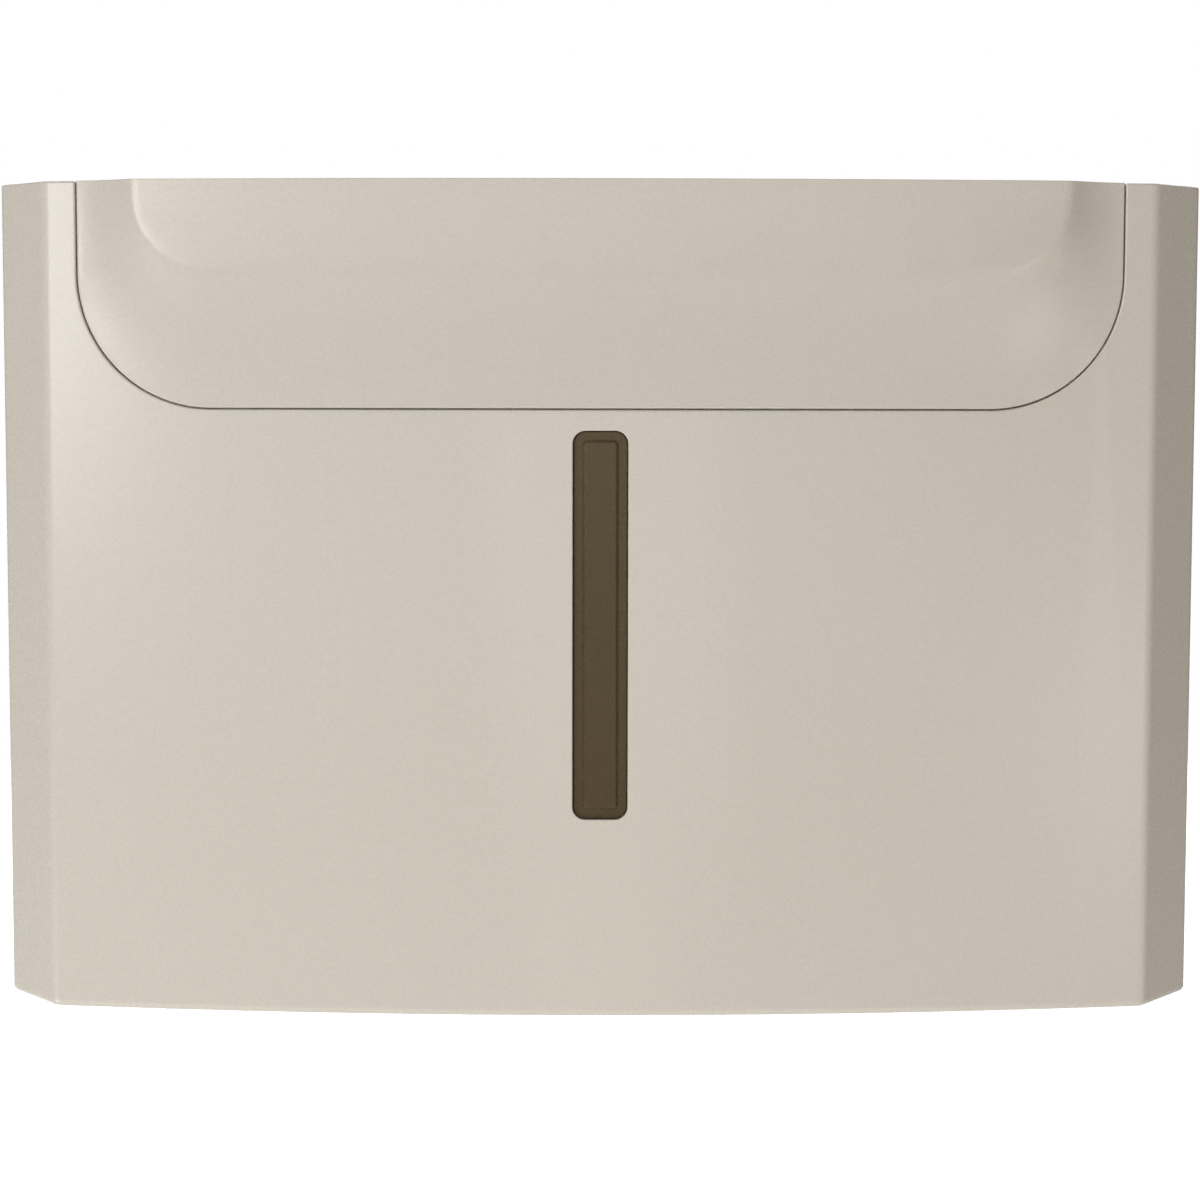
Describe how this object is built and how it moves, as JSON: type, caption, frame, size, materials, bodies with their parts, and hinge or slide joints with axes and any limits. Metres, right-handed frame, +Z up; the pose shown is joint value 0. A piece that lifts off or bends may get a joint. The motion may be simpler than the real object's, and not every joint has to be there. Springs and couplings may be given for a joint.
{
  "type": "paper towel dispenser",
  "caption": "Wall-hung folded-towel dispenser with a bowed hinged cover, raised brow, tinted level window, cam lock and sliding width guides.",
  "frame": {"origin": "centre of the four wall screw holes, on the wall", "axes": "+X to the right seen from the front, +Z up, +Y into the wall"},
  "size_m": [0.28, 0.1125, 0.1932],
  "materials": {
    "cover_plastic": "satin moulded ABS, warm light grey",
    "brow_plastic": "satin moulded ABS, warm light grey",
    "plate_plastic": "fine textured ABS, warm grey",
    "magazine_plastic": "plain moulded ABS, grey",
    "bezel_plastic": "smooth dark acetal",
    "guide_plastic": "plain moulded ABS, light grey",
    "frame_plastic": "plain moulded ABS, dark grey",
    "smoked_window": "smoked brown polycarbonate",
    "lock_chrome": "plated zinc",
    "lock_brass": "turned",
    "strike_steel": "zinc plated sheet",
    "pin_steel": "ground",
    "zinc_screw": "zinc plated",
    "bumper_rubber": "matt"
  },
  "bodies": {
    "housing": {"back_plate": "plate_plastic", "bumpers": "bumper_rubber", "cheek_right": "magazine_plastic", "cheek_left": "magazine_plastic", "cheek_screws": "zinc_screw", "towel_tray": "magazine_plastic", "tray_screws": "zinc_screw", "outlet_bezel": "bezel_plastic", "hinge_pin_right": "pin_steel", "hinge_pin_left": "pin_steel", "strike_bracket": "strike_steel", "strike_screws": "zinc_screw"},
    "cover": {"front_cover": "cover_plastic", "brow_panel": "brow_plastic", "brow_screws": "zinc_screw", "sight_window": "smoked_window", "window_frame": "frame_plastic", "window_screws": "zinc_screw", "lock_barrel": "lock_chrome", "lock_washer": "zinc_screw", "lock_nut": "lock_brass"},
    "lock": {"lock_plug": "lock_chrome", "lock_cam": "strike_steel", "cam_screw": "zinc_screw"},
    "guide_right": {"width_guide_right": "guide_plastic"},
    "guide_left": {"width_guide_left": "guide_plastic"}
  },
  "joints": [
    {"name": "cover_hinge", "type": "hinge", "parent": "housing", "child": "cover", "pos_m": [0, -0.0228, -0.07612], "axis": [1, 0, 0], "range_deg": [0, 80]},
    {"name": "lock_turn", "type": "hinge", "parent": "cover", "child": "lock", "pos_m": [0, -0.034, 0.09], "axis": [0, 0, -1], "range_deg": [0, 90]},
    {"name": "guide_right_slide", "type": "slide", "parent": "housing", "child": "guide_right", "axis": [-1, 0, 0], "range_m": [0, 0.012]},
    {"name": "guide_left_slide", "type": "slide", "parent": "housing", "child": "guide_left", "axis": [1, 0, 0], "range_m": [0, 0.012]}
  ]
}
